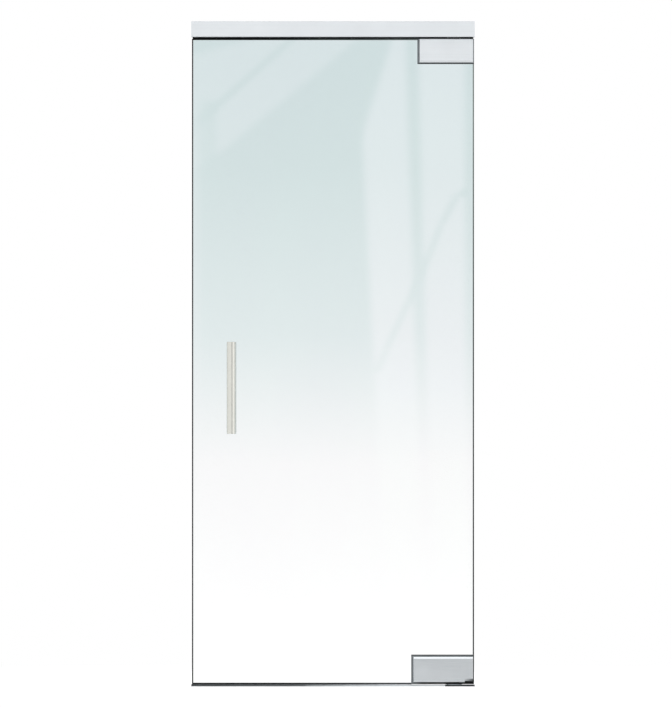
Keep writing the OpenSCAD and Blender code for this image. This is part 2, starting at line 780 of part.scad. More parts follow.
// Front half of a clamp: a bevelled rim, a raised field, and a pocket for the insert's boss.
// The plain half has through holes with recesses, and the tapped half has blind holes.
module clamp_half(patch, relief, tapped) {
    hole_d = clamp_screw_d + 2 * seat_gap;
    hole_l = tapped ? clamp_y2 - thread_land : clamp_y2 + over;
    pocket_w = insert_boss_w + 2 * seat_gap;
    pocket_y = insert_boss_t / 2 + seat_gap;
    difference() {
        union() {
            bevelled_slab(patch[0], patch[1], clamp_y0, clamp_rim_t, clamp_bevel, clamp_bevel);
            plate_xz(clamp_y1 - over, clamp_y2)
                cover_outline(patch, relief, patch_cover_t + seat_gap);
        }
        translate([pivot_backset - pocket_w / 2, -pocket_y, -over])
            cube([pocket_w, pocket_y, over + insert_z1 + seat_gap]);
        at_clamp_screws() {
            cylinder(d = hole_d, h = hole_l);
            if (!tapped) translate([0, 0, clamp_seat_y])
                cylinder(d = clamp_head_d + 2 * snap_gap, h = clamp_y2);
        }
    }
}

// Snap-on cover: a shallow tray over the clamp's raised field
module patch_cover(patch, relief) {
    size = cover_size(patch);
    cover_y0 = clamp_y1 + seat_gap;
    cover_y1 = clamp_y2 + seat_gap + patch_cover_t;
    difference() {
        intersection() {
            plate_xz(cover_y0, cover_y1) cover_outline(patch, relief, 0);
            translate([rim_edge, 0, patch[2]])
                bevelled_slab(size[0], size[1], cover_y0, cover_y1 - cover_y0, cover_edge, cover_run);
        }
        plate_xz(cover_y0 - over, clamp_y2 + seat_gap) cover_outline(patch, relief, patch_cover_t);
    }
}

// Gasket between a clamp and the glass, cut away round the insert
module gasket(patch) {
    plate_xz(glass_t / 2, clamp_y0) difference() {
        square([patch[0] + gasket_end, patch[1] + gasket_long]);
        notch_outline();
    }
}

// Insert: a bar between the clamp halves with a thick boss at the pivot, bored for its screws
module insert_block() {
    difference() {
        intersection() {
            linear_extrude(insert_z1) {
                translate([0, -insert_bar_t / 2]) square([insert_x1, insert_bar_t]);
                translate([pivot_backset - insert_boss_w / 2, -insert_boss_t / 2])
                    square([insert_boss_w, insert_boss_t]);
            }
            plate_xz(-insert_boss_t, insert_boss_t)
                corner_outline(insert_margin, insert_drop, insert_x1, insert_z1, insert_r);
        }
        at_clamp_screws() translate([0, 0, -insert_boss_t])
            cylinder(d = clamp_screw_d + 2 * seat_gap, h = 2 * insert_boss_t);
        translate([0, 0, grub_rise]) rotate([0, 90, 0])
            cylinder(d = grub_d + 2 * seat_gap, h = pivot_backset);
    }
}

// Screws from the plain half, through the insert, into the tapped half
module clamp_screws() {
    at_clamp_screws() translate([0, 0, clamp_seat_y]) mirror([0, 0, 1])
        socket_screw(clamp_screw_d, clamp_seat_y + clamp_y1, clamp_head_d, clamp_head_h);
}

// Grub screw in an insert, bearing on what stands at a radius from the pivot
module insert_grub(radius) {
    translate([pivot_backset - radius - seat_gap - grub_l, 0, grub_rise]) rotate([0, 90, 0])
        grub_screw(grub_d, grub_l);
}

module top_front_clamp() color(cast_grey)
    at_top_corner() clamp_half(top_patch, false, false);
module top_rear_clamp() color(cast_grey)
    at_top_corner() rear() clamp_half(top_patch, false, true);
module top_front_gasket() color(black)
    at_top_corner() gasket(top_patch);
module top_rear_gasket() color(black)
    at_top_corner() rear() gasket(top_patch);
module top_front_cover() color(metal_pale)
    at_top_corner() patch_cover(top_patch, false);
module top_rear_cover() color(metal_pale)
    at_top_corner() rear() patch_cover(top_patch, false);

// The top insert has a square socket for the closer's spindle
module top_insert() {
    socket = tang + 2 * seat_gap;
    color(zinc) at_top_corner() difference() {
        insert_block();
        translate([pivot_backset - socket / 2, -socket / 2, insert_drop - over])
            cube([socket, socket, over + tang_depth + seat_gap]);
    }
}

module top_clamp_screws() color(zinc) at_top_corner() clamp_screws();
module top_grub_screw() color(zinc) at_top_corner() insert_grub(tang / 2);

module bottom_front_clamp() color(cast_grey)
    at_bottom_corner() clamp_half(bottom_patch, true, false);
module bottom_rear_clamp() color(cast_grey)
    at_bottom_corner() rear() clamp_half(bottom_patch, true, true);
module bottom_front_gasket() color(black)
    at_bottom_corner() gasket(bottom_patch);
module bottom_rear_gasket() color(black)
    at_bottom_corner() rear() gasket(bottom_patch);
module bottom_front_cover() color(metal_mid)
    at_bottom_corner() patch_cover(bottom_patch, true);
module bottom_rear_cover() color(metal_mid)
    at_bottom_corner() rear() patch_cover(bottom_patch, true);

// The bottom insert is bored for the bush and for the thrust pad above it
module bottom_insert() {
    bore_z = pad_z + pad_t + seat_gap;
    color(zinc) difference() {
        at_bottom_corner() insert_block();
        translate([pivot_x, 0, bush_z - over])
            cylinder(d = bush_d + 2 * seat_gap, h = bore_z - bush_z + over);
    }
}

module bottom_clamp_screws() color(zinc) at_bottom_corner() clamp_screws();
module bottom_grub_screw() color(zinc) at_bottom_corner() insert_grub(bush_d / 2);

module pivot_bush() {
    color(bronze) translate([pivot_x, 0, bush_z]) difference() {
        cylinder(d = bush_d, h = bush_l);
        translate([0, 0, -over]) cylinder(d = pin_d + 2 * run_gap, h = bush_l + 2 * over);
    }
}

module thrust_pad() color(steel_dark)
    translate([pivot_x, 0, pad_z]) cylinder(d = bush_d, h = pad_t);

// Places of a pull's two posts on the glass's mid-plane, with +Z towards the front
module at_posts() {
    for (side = [-1, 1]) translate([pull_x, 0, pull_z + side * post_pitch / 2])
        rotate([90, 0, 0]) children();
}

// Front pull tube, with a hole in its wall for each post's screw
module pull_tube() {
    tube_l = pull_l - 2 * cap_t;
    difference() {
        translate([pull_x, -pull_y, pull_z - tube_l / 2]) difference() {
            cylinder(d = pull_d, h = tube_l);
            translate([0, 0, -over]) cylinder(d = pull_d - 2 * pull_wall, h = tube_l + 2 * over);
        }
        at_posts() translate([0, 0, post_seat_y])
            cylinder(d = tube_screw_d + 2 * seat_gap, h = pull_y - post_seat_y);
    }
}

module front_pull_tube() color(metal_warm) pull_tube();
module rear_pull_tube() color(metal_warm) rear() pull_tube();

// End caps: a chamfered disc with a plug that fills the tube's end
module pull_end_caps() {
    disc_r = pull_d / 2;
    plug_r = disc_r - pull_wall - seat_gap;
    color(metal_warm) both_faces() for (end = [0, 1])
        translate([pull_x, -pull_y, pull_z]) mirror([0, 0, end])
            translate([0, 0, pull_l / 2 - cap_t]) rotate_extrude() polygon([
                [0, -cap_plug], [plug_r, -cap_plug], [plug_r, 0], [disc_r, 0],
                [disc_r, cap_t - cap_chamfer], [disc_r - cap_chamfer, cap_t], [0, cap_t]
            ]);
}

// Front posts: coped to the tube, bored for the stud, and tapped from below for a grub screw
module pull_posts() {
    difference() {
        at_posts() difference() {
            translate([0, 0, post_y0]) cylinder(d = post_d, h = pull_y - post_y0);
            cylinder(d = stud_bore_d, h = post_seat_y);
            cylinder(d = tube_screw_d + 2 * seat_gap, h = pull_y);
            translate([0, 0, post_y0 + post_grub_side]) rotate([90, 0, 0])
                cylinder(d = post_grub_d + 2 * seat_gap, h = post_d);
        }
        translate([pull_x, -pull_y, pull_z - pull_l / 2])
            cylinder(d = pull_d + 2 * seat_gap, h = pull_l);
    }
}

module front_pull_posts() color(metal_warm) pull_posts();
module rear_pull_posts() color(metal_warm) rear() pull_posts();

// Screws inside the posts that hold each tube
module tube_screws() color(zinc)
    both_faces() at_posts() translate([0, 0, post_seat_y])
        socket_screw(tube_screw_d, post_web + pull_wall, tube_head_d, tube_head_h);

module pull_studs() {
    reach = post_y0 + stud_seat;
    color(zinc) at_posts() translate([0, 0, -reach]) cylinder(d = stud_d, h = 2 * reach);
}

module pull_bushes() {
    reach = glass_t / 2 - seat_gap;
    color(nylon) at_posts() translate([0, 0, -reach]) difference() {
        cylinder(d = stud_hole_d - 2 * seat_gap, h = 2 * reach);
        translate([0, 0, -over]) cylinder(d = stud_bore_d, h = 2 * (reach + over));
    }
}

module pull_washers() color(nylon)
    both_faces() at_posts() translate([0, 0, glass_t / 2]) difference() {
        cylinder(d = post_d, h = washer_t);
        translate([0, 0, -over]) cylinder(d = stud_bore_d, h = washer_t + 2 * over);
    }

module post_grub_screws() color(zinc)
    both_faces() at_posts() translate([0, seat_gap - post_d / 2, post_y0 + post_grub_side])
        rotate([-90, 0, 0]) grub_screw(post_grub_d, (post_d - stud_d) / 2 - 2 * seat_gap);

header_channel();
header_cover();
pile_strip();
header_bracket_left();
header_bracket_right();
header_bracket_screws();
closer_carrier();
carrier_screws();
closer_body();
closer_plugs();
closer_valves();
closer_screws();
closer_spindle();
spindle_seal();
threshold();
threshold_pile();
floor_pivot_plate();
floor_pivot_pin();
thrust_ball();
glass_leaf();
top_front_clamp();
top_rear_clamp();
top_front_gasket();
top_rear_gasket();
top_front_cover();
top_rear_cover();
top_insert();
top_clamp_screws();
top_grub_screw();
bottom_front_clamp();
bottom_rear_clamp();
bottom_front_gasket();
bottom_rear_gasket();
bottom_front_cover();
bottom_rear_cover();
bottom_insert();
bottom_clamp_screws();
bottom_grub_screw();
pivot_bush();
thrust_pad();
front_pull_tube();
rear_pull_tube();
pull_end_caps();
front_pull_posts();
rear_pull_posts();
tube_screws();
pull_studs();
pull_bushes();
pull_washers();
post_grub_screws();
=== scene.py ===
import json
import math
import random

import bpy
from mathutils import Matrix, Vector


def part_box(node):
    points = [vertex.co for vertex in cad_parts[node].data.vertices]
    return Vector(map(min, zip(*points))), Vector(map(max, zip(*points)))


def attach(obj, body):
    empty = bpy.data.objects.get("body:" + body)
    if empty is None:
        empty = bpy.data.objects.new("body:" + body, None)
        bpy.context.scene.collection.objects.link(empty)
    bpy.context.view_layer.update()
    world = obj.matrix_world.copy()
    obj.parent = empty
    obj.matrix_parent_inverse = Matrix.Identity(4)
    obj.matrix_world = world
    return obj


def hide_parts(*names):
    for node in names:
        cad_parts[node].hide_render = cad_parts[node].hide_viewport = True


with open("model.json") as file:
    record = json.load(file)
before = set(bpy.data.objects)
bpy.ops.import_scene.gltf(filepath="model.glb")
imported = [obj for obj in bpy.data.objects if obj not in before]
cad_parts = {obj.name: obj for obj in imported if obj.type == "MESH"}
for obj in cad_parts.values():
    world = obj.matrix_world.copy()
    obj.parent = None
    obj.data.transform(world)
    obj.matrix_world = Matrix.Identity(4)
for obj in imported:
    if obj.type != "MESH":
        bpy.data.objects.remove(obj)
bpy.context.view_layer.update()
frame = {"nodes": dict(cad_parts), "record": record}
nodes = frame["nodes"]
MM = 0.001
WHITE = "#FFFFFF"

# The photograph's frame: where the leaf's two sides and the floor lie in it, in pixels
PHOTO_W, PHOTO_H = 672, 707
LEAF_LEFT_PX, LEAF_RIGHT_PX = 192, 474
FLOOR_PX = 686

threshold_low, threshold_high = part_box("threshold")
pane_low, pane_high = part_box("glass_leaf")
pane_w = pane_high.x - pane_low.x
pane_h = pane_high.z - pane_low.z
metres_per_px = pane_w / (LEAF_RIGHT_PX - LEAF_LEFT_PX)


def to_linear(hex_colour):
    """An sRGB hex colour as the linear RGBA that nodes take."""
    channels = [int(hex_colour[i:i + 2], 16) / 255 for i in (1, 3, 5)]
    return [c / 12.92 if c <= 0.04045 else ((c + 0.055) / 1.055) ** 2.4 for c in channels] + [1.0]


# Sockets of the colour form of a Mix node
MIX_A, MIX_B, MIX_OUT = 6, 7, 2
# Noise stays mostly between these values
NOISE_LOW, NOISE_HIGH = 0.3, 0.7
# What the shader of a bare metal takes as well
METAL = {"Metallic": 1.0}


def add_node(tree, kind, inputs=None, stops=(), **settings):
    """Adds a node with its settings, a ramp's sRGB stops, and a value or a link on each input named."""
    node = tree.nodes.new(kind)
    for name, value in settings.items():
        setattr(node, name, value)
    for name, value in (inputs or {}).items():
        if isinstance(value, bpy.types.NodeSocket):
            tree.links.new(value, node.inputs[name])
        else:
            node.inputs[name].default_value = value
    if stops:
        elements = node.color_ramp.elements
        while len(elements) < len(stops):
            elements.new(1.0)
        for element, (share, colour) in zip(elements, stops):
            element.position = share
            element.color = to_linear(colour)
    return node


def start_material(name):
    """An empty material, its node tree, and the place on the piece in metres."""
    material = bpy.data.materials.new(name)
    material.use_nodes = True
    tree = material.node_tree
    tree.nodes.clear()
    place = add_node(tree, "ShaderNodeTexCoord").outputs["Object"]
    return material, tree, place


def noise_at(tree, place, pitch, detail=2.0):
    """Noise whose cells measure pitch, in metres along X, Y and Z."""
    cells = add_node(tree, "ShaderNodeMapping", {
        "Vector": place, "Scale": [1 / length for length in pitch],
    })
    return add_node(tree, "ShaderNodeTexNoise", {
        "Vector": cells.outputs["Vector"], "Scale": 1.0, "Detail": detail,
    }).outputs["Fac"]


def spread(tree, noise, low, high):
    """Noise spread over a range."""
    return add_node(tree, "ShaderNodeMapRange", {
        "Value": noise, "From Min": NOISE_LOW, "From Max": NOISE_HIGH, "To Min": low, "To Max": high,
    }).outputs["Result"]


def combine(tree, operation, *values):
    """Folds several values into one with a Math operation."""
    total = values[0]
    for value in values[1:]:
        total = add_node(tree, "ShaderNodeMath", {0: total, 1: value}, operation=operation).outputs[0]
    return total


def share_along(tree, place, axis, low, high):
    """How far a place lies along an axis, from 0 at low to 1 at high."""
    reach = add_node(tree, "ShaderNodeSeparateXYZ", {0: place}).outputs[axis]
    return add_node(tree, "ShaderNodeMapRange", {
        "Value": reach, "From Min": low, "From Max": high,
    }).outputs["Result"]


def mottled(tree, noise, dark, light):
    """Colour that wanders between two sRGB tones with a noise."""
    return add_node(tree, "ShaderNodeMix", {
        0: spread(tree, noise, 0, 1), MIX_A: to_linear(dark), MIX_B: to_linear(light),
    }, data_type="RGBA").outputs[MIX_OUT]


def tones_along(tree, share, noise, shift, stops):
    """Colour along a row of sRGB tones, by a share of the way that a noise shifts within a range."""
    return add_node(tree, "ShaderNodeValToRGB", {
        "Fac": combine(tree, "ADD", share, spread(tree, noise, *shift)),
    }, stops=stops).outputs["Color"]


def with_painted_shade(tree, place, unshaded, shade_tone, *patches):
    """A colour that passes into an sRGB tone of painted shade over some patches. Each patch is given as
    ways into it: an axis, where the painted shade starts along it and where it is full."""
    depths = [
        combine(tree, "MULTIPLY", *(share_along(tree, place, *way) for way in patch))
        for patch in patches
    ]
    return add_node(tree, "ShaderNodeMix", {
        0: combine(tree, "MAXIMUM", *depths), MIX_A: unshaded, MIX_B: to_linear(shade_tone),
    }, data_type="RGBA").outputs[MIX_OUT]


def close_material(tree, colour, rough, relief=None, extra=None):
    """Ends a material in a Principled shader. Rough is a noise and the roughness at its low and high
    end, relief is a noise and its depth in metres, and extra has other inputs of the shader."""
    inputs = {"Base Color": colour, "Roughness": spread(tree, *rough), **(extra or {})}
    if relief:
        height, depth = relief
        inputs["Normal"] = add_node(tree, "ShaderNodeBump", {
            "Height": height, "Distance": depth, "Strength": 1.0,
        }).outputs["Normal"]
    shader = add_node(tree, "ShaderNodeBsdfPrincipled", inputs)
    add_node(tree, "ShaderNodeOutputMaterial", {"Surface": shader.outputs["BSDF"]})


def lined_metal(name, tones, pitch, rough, depth, painted_shade=None):
    """Metal whose finish runs in fine lines, with a slow change of tone over them and any painted shade.
    """
    material, tree, place = start_material(name)
    lines = noise_at(tree, place, pitch, detail=3.0)
    clouds = noise_at(tree, place, [90 * MM] * 3)
    mean = combine(tree, "MULTIPLY", combine(tree, "ADD", lines, clouds), 0.5)
    colour = mottled(tree, mean, *tones)
    if painted_shade:
        colour = with_painted_shade(tree, place, colour, *painted_shade)
    close_material(tree, colour, (lines, *rough), (lines, depth), METAL)
    return material


# Anodised aluminium, extruded and satin etched: even pale grey with a milky sheen, and faint die
# lines along its length. Real die lines lie about 0.5 mm apart and are drawn at 3 mm to show.
def anodised_aluminium():
    return lined_metal(
        "anodised_aluminium_satin", ("#D5D9DC", "#DDE1E4"), (700 * MM, 3 * MM, 3 * MM),
        (0.34, 0.42), 0.004 * MM,
    )


# Mill-finish aluminium, extruded: die lines along it, with painted shade that darkens it towards the
# free edge and painted light that keeps it bright towards the pivot.
# Real die lines lie about 0.8 mm apart and are drawn at 3 mm to show.
THRESHOLD_SHADE_TONES = (
    (0.0, "#4B4E50"), (0.43, "#6C6F71"), (0.47, "#A3A6A8"),
    (0.6, "#C4C7C9"), (0.75, "#E0E3E5"), (1.0, "#F4F6F7"),
)


def mill_aluminium():
    material, tree, place = start_material("mill_aluminium_extruded_painted_shade")
    lines = noise_at(tree, place, (300 * MM, 3 * MM, 3 * MM), detail=3.0)
    grit = noise_at(tree, place, [40 * MM] * 3, detail=4.0)
    along = share_along(tree, place, "X", threshold_low.x, threshold_high.x)
    colour = tones_along(tree, along, grit, (-0.03, 0.03), THRESHOLD_SHADE_TONES)
    close_material(tree, colour, (lines, 0.4, 0.55), (lines, 0.01 * MM), METAL)
    return material


# Stainless steel sheet, brushed along its length: mid grey, with short bright and dark hairlines, and
# painted shade that darkens the heel corner of the bottom patch, by the pivot.
# Real hairlines are about 0.2 mm wide and are drawn at 1.5 mm to show.
HEEL_SHADE_W = 30 * MM
HEEL_SHADE_NONE, HEEL_SHADE_FULL = 25.5 * MM, 21.5 * MM


def brushed_stainless():
    cover_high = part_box("bottom_front_cover")[1]
    heel = (("X", cover_high.x - HEEL_SHADE_W, cover_high.x), ("Z", HEEL_SHADE_NONE, HEEL_SHADE_FULL))
    return lined_metal(
        "stainless_steel_brushed", ("#BBBFC2", "#C7CBCE"), (60 * MM, 1.5 * MM, 1.5 * MM),
        (0.15, 0.19), 0.001 * MM, painted_shade=("#3C3F41", heel),
    )


# Stainless steel tube, belt ground round its axis: a warm pale grey, with a soft highlight down it.
# Real grinding rings are about 0.2 mm wide and are drawn at 1.5 mm to show.
def satin_stainless(name, axis):
    pitch = [60 * MM] * 3
    pitch[axis] = 1.5 * MM
    return lined_metal(name, ("#D7D7D0", "#DBDBD4"), pitch, (0.2, 0.22), 0.0002 * MM)


# Zinc-plated steel: bluish grey, with a mottled sheen where the plating took unevenly.
def zinc_steel():
    material, tree, place = start_material("steel_zinc_plated")
    patches = add_node(tree, "ShaderNodeTexVoronoi", {"Vector": place, "Scale": 1 / (4 * MM)})
    grain = noise_at(tree, place, [0.8 * MM] * 3)
    colour = add_node(tree, "ShaderNodeMix", {
        0: patches.outputs["Distance"], MIX_A: to_linear("#B9C0C6"), MIX_B: to_linear("#99A0A6"),
    }, data_type="RGBA").outputs[MIX_OUT]
    close_material(tree, colour, (grain, 0.28, 0.42), (grain, 0.01 * MM), METAL)
    return material


# Steel blackened in hot oxide: near black with a dull blue-grey sheen, rubbed paler in patches.
def dark_steel():
    material, tree, place = start_material("steel_black_oxide")
    rubbed = noise_at(tree, place, [18 * MM] * 3, detail=4.0)
    grain = noise_at(tree, place, [1 * MM] * 3)
    colour = mottled(tree, rubbed, "#101214", "#22262A")
    close_material(tree, colour, (rubbed, 0.5, 0.36), (grain, 0.01 * MM), {"Metallic": 0.7})
    return material


# Bronze, turned and oiled: brown-gold, with fine turning rings up its length and darker oil stains.
def bronze():
    material, tree, place = start_material("bronze_turned")
    rings = noise_at(tree, place, (40 * MM, 40 * MM, 0.4 * MM))
    stains = noise_at(tree, place, [6 * MM] * 3)
    colour = mottled(tree, stains, "#8F6A35", "#B98D50")
    close_material(tree, colour, (rings, 0.22, 0.36), (rings, 0.01 * MM), METAL)
    return material


# Zinc alloy, die cast and bead blasted under grey lacquer: matt, with a fine even pitting, and painted
# shade that turns it black along the bottom patch's foot and up its heel edge.
# Real pits are about 0.3 mm across and are drawn at 1 mm to show.
FOOT_SHADE_NONE, FOOT_SHADE_FULL = 19 * MM, 13 * MM
FOOT_SHADE_LEAD = 35 * MM
HEEL_W, HEEL_FADE = 3.2 * MM, 0.3 * MM


def cast_clamp():
    material, tree, place = start_material("zinc_alloy_cast_and_blasted")
    pits = noise_at(tree, place, [1 * MM] * 3, detail=3.0)
    clouds = noise_at(tree, place, [30 * MM] * 3)
    clamp_low, clamp_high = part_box("bottom_front_clamp")
    heel_x = clamp_high.x - HEEL_W
    foot = (("Z", FOOT_SHADE_NONE, FOOT_SHADE_FULL), ("X", clamp_low.x, clamp_low.x + FOOT_SHADE_LEAD))
    heel = (("X", heel_x - HEEL_FADE, heel_x), ("Z", 2 * clamp_high.z, clamp_high.z))
    lacquer = mottled(tree, clouds, "#6A6F72", "#74797C")
    colour = with_painted_shade(tree, place, lacquer, "#060707", foot, heel)
    close_material(tree, colour, (pits, 0.48, 0.62), (pits, 0.03 * MM), {"Specular IOR Level": 0.12})
    return material


# Stove enamel sprayed on a casting: mid grey with a slight gloss and the dimples of orange peel.
def closer_paint():
    material, tree, place = start_material("enamel_sprayed_on_casting")
    peel = noise_at(tree, place, [2.5 * MM] * 3, detail=1.0)
    clouds = noise_at(tree, place, [60 * MM] * 3)
    colour = mottled(tree, clouds, "#686D70", "#72777A")
    close_material(tree, colour, (peel, 0.32, 0.42), (peel, 0.04 * MM))
    return material


# EPDM rubber, moulded: matt black, dulled to grey here and there by bloom.
def gasket_rubber():
    material, tree, place = start_material("epdm_rubber_moulded")
    bloom = noise_at(tree, place, [12 * MM] * 3, detail=4.0)
    grain = noise_at(tree, place, [0.7 * MM] * 3)
    colour = mottled(tree, bloom, "#141516", "#232526")
    close_material(tree, colour, (bloom, 0.62, 0.78), (grain, 0.02 * MM))
    return material


def cut_pile(name, stops, painted_shade_share):
    """Cut pile whose tone runs through the stops: a share of it as painted shade along the strip, the
    rest by tuft.
    """
    material, tree, place = start_material(name)
    tufts = noise_at(tree, place, [1.5 * MM] * 3)
    strands = noise_at(tree, place, (0.3 * MM, 0.3 * MM, 6 * MM))
    along = share_along(tree, place, "X", threshold_low.x, threshold_high.x)
    share = combine(tree, "MULTIPLY", along, painted_shade_share)
    colour = tones_along(tree, share, tufts, (0, 1 - painted_shade_share), stops)
    close_material(tree, colour, (tufts, 0.75, 0.95), (strands, 0.05 * MM), {"Specular IOR Level": 0.1})
    return material


# Polypropylene pile, woven and cut: deep black that drinks the light, each tuft a little different.
# Real strands are about 0.05 mm thick and are drawn at 0.3 mm to show from close by.
def black_pile():
    return cut_pile("polypropylene_pile_black", ((0.0, "#060707"), (1.0, "#121314")), 0.0)


# The same pile in grey: soft, with painted light that keeps it pale by the pivot and painted shade that
# darkens it towards the free edge.
def grey_pile():
    stops = (
        (0.0, "#5A5D5F"), (0.42, "#66696B"), (0.56, "#8C8F91"), (0.7, "#B8BBBD"), (0.82, "#E8EAEB"),
    )
    return cut_pile("polypropylene_pile_grey_painted_shade", stops, 0.9)


# Natural nylon, turned from rod: waxy off-white, with faint tool rings.
def nylon():
    material, tree, place = start_material("nylon_turned")
    rings = noise_at(tree, place, (12 * MM, 0.4 * MM, 12 * MM))
    clouds = noise_at(tree, place, [9 * MM] * 3)
    colour = mottled(tree, clouds, "#DEDBD0", "#E9E7DE")
    close_material(tree, colour, (rings, 0.36, 0.48), (rings, 0.01 * MM))
    return material


# Float glass, toughened: clear, with the faint blue-green of its iron, and a little haze that comes
# and goes over the pane where it was wiped.
def toughened_glass():
    material, tree, place = start_material("float_glass_toughened")
    wipes = noise_at(tree, place, (250 * MM, 250 * MM, 700 * MM), detail=3.0)
    colour = mottled(tree, wipes, "#DFE6E9", "#E0E8EA")
    close_material(
        tree, colour, (wipes, 0.014, 0.02), extra={"Transmission Weight": 1.0, "IOR": 1.52},
    )
    return material


# Glass arris, ground by the wheel: a matt frosting over deep bottle green, with painted shade that takes
# it near black, and painted light that makes it paler towards the pivot side, up its upright edge and
# most of all along the top edge, where light runs out of the pane.
ARRIS_SHADE_TONES = ((0.0, "#020303"), (0.12, "#121615"), (0.3, "#3A4240"), (0.5, "#727B79"), (1.0, "#CDD5D4"))
TOP_EDGE = 5 * MM
UPRIGHT_LIGHT = 0.5


def ground_glass_arris():
    material, tree, place = start_material("float_glass_ground_arris")
    frost = noise_at(tree, place, [1.2 * MM] * 3, detail=3.0)
    bands = noise_at(tree, place, [160 * MM] * 3)
    height = share_along(tree, place, "Z", pane_low.z, pane_high.z)
    top = share_along(tree, place, "Z", pane_high.z - TOP_EDGE, pane_high.z)
    across = share_along(tree, place, "X", pane_low.x, pane_high.x)
    upright = combine(tree, "MULTIPLY", height, UPRIGHT_LIGHT)
    light = combine(tree, "MULTIPLY", across, combine(tree, "MAXIMUM", upright, top))
    colour = tones_along(tree, light, bands, (-0.02, 0.02), ARRIS_SHADE_TONES)
    close_material(tree, colour, (frost, 0.5, 0.65), (frost, 0.02 * MM), {"Specular IOR Level": 0.1})
    return material


# Glass edge, ground flat and polished: a glossy bottle green, because light comes to it through the
# whole width of the pane, with slow paler bands along it.
def polished_glass_edge():
    material, tree, place = start_material("float_glass_polished_edge")
    bands = noise_at(tree, place, [120 * MM] * 3, detail=3.0)
    grain = noise_at(tree, place, [2 * MM] * 3)
    colour = mottled(tree, bands, "#4F7064", "#7C9F92")
    close_material(tree, colour, (grain, 0.12, 0.2), (grain, 0.004 * MM))
    return material


Y_AXIS, Z_AXIS = 1, 2
finishes = {
    "anodised_aluminium": anodised_aluminium(),
    "mill_aluminium": mill_aluminium(),
    "brushed_stainless": brushed_stainless(),
    "satin_stainless": satin_stainless("stainless_steel_tube_ground", Z_AXIS),
    "cast_clamp": cast_clamp(),
    "closer_paint": closer_paint(),
    "gasket_rubber": gasket_rubber(),
    "pile": black_pile(),
    "grey_pile": grey_pile(),
    "zinc_steel": zinc_steel(),
    "dark_steel": dark_steel(),
    "bronze": bronze(),
    "nylon": nylon(),
    "toughened_glass": toughened_glass(),
}
for row in frame["record"]["subparts"]:
    node = nodes[row["node"]]
    node.data.materials.clear()
    node.data.materials.append(finishes[row["material_slot"]])

# The posts lie along Y, so they are ground round that axis
post_finish = satin_stainless("stainless_steel_post_ground", Y_AXIS)
for name in ("front_pull_posts", "rear_pull_posts"):
    nodes[name].material_slots[0].material = post_finish

# The pane's two broad faces are clear, its arrises are ground and its edge faces polished
CLEAR, ARRIS, EDGE = 0, 1, 2
BROAD_FACE, EDGE_FACE = 0.99, 0.01
pane = nodes["glass_leaf"]
pane.data.materials.append(ground_glass_arris())
pane.data.materials.append(polished_glass_edge())
for face in pane.data.polygons:
    lean = abs(face.normal.y)
    if lean > BROAD_FACE:
        face.material_index = CLEAR
    else:
        face.material_index = ARRIS if lean > EDGE_FACE else EDGE
# Lamps shine through the pane
pane.visible_shadow = False


# Pile weatherstrips: rows of cut tufts on a woven backing, in place of the plain bars
PILE_W = 5 * MM
PILE_ROWS = 3
TUFT_PITCH = 1.5 * MM
TUFT_ROOT_R = 0.9 * MM
TUFT_TIP_R = 0.8 * MM
TUFT_SIDES = 6
TIP_GAP = 0.02 * MM
END_REACH = 0.25 * MM
TIP_TRIM = 0.3 * MM
BACKING_T = 1.6 * MM
BACKING_BEVEL = BACKING_T / 5
TRIM_SEED = 7
# The end of a run is the same to this many decimals of a metre at all its corners
END_DECIMALS = 5


def add_tufts(x0, x1, root_z, tip_z):
    """Staggered rows of tufts from x0 to x1: one is modelled, and two arrays repeat it."""
    height = abs(tip_z - root_z)
    first_x = x0 - END_REACH + TUFT_ROOT_R
    run = x1 + END_REACH - TUFT_ROOT_R - first_x
    count = int(run / TUFT_PITCH)
    pitch = run / (count - 1 + (PILE_ROWS - 1) / PILE_ROWS)
    stagger = pitch / PILE_ROWS
    row_pitch = (PILE_W - 2 * TUFT_ROOT_R) / (PILE_ROWS - 1)
    first_y = -row_pitch * (PILE_ROWS - 1) / 2
    points_up = tip_z > root_z
    bpy.ops.object.select_all(action="DESELECT")
    bpy.ops.mesh.primitive_cone_add(
        vertices=TUFT_SIDES, depth=height, location=(first_x, first_y, (root_z + tip_z) / 2),
        radius1=TUFT_ROOT_R if points_up else TUFT_TIP_R,
        radius2=TUFT_TIP_R if points_up else TUFT_ROOT_R,
    )
    tufts = bpy.context.active_object
    for step, repeats in (((pitch, 0, 0), count), ((stagger, row_pitch, 0), PILE_ROWS)):
        array = tufts.modifiers.new("rows", "ARRAY")
        array.use_relative_offset = False
        array.use_constant_offset = True
        array.constant_offset_displace = step
        array.count = repeats
        bpy.ops.object.modifier_apply(modifier=array.name)
    bpy.ops.object.transform_apply(location=True, rotation=True, scale=True)
    return tufts


def trim_tips(tufts, root_z, tip_z):
    """Cuts each tuft of the outer rows a little short, as pile wears. The middle row keeps its length."""
    draw = random.Random(TRIM_SEED)
    towards_root = 1 if root_z > tip_z else -1
    corners = 2 * TUFT_SIDES
    row_length = len(tufts.data.vertices) // corners // PILE_ROWS
    trims = [draw.uniform(0, TIP_TRIM) for _ in range(PILE_ROWS * row_length)]
    for vertex in tufts.data.vertices:
        tuft = vertex.index // corners
        in_outer_row = tuft // row_length != PILE_ROWS // 2
        if in_outer_row and abs(vertex.co.z - tip_z) < TIP_TRIM:
            vertex.co.z += towards_root * trims[tuft]


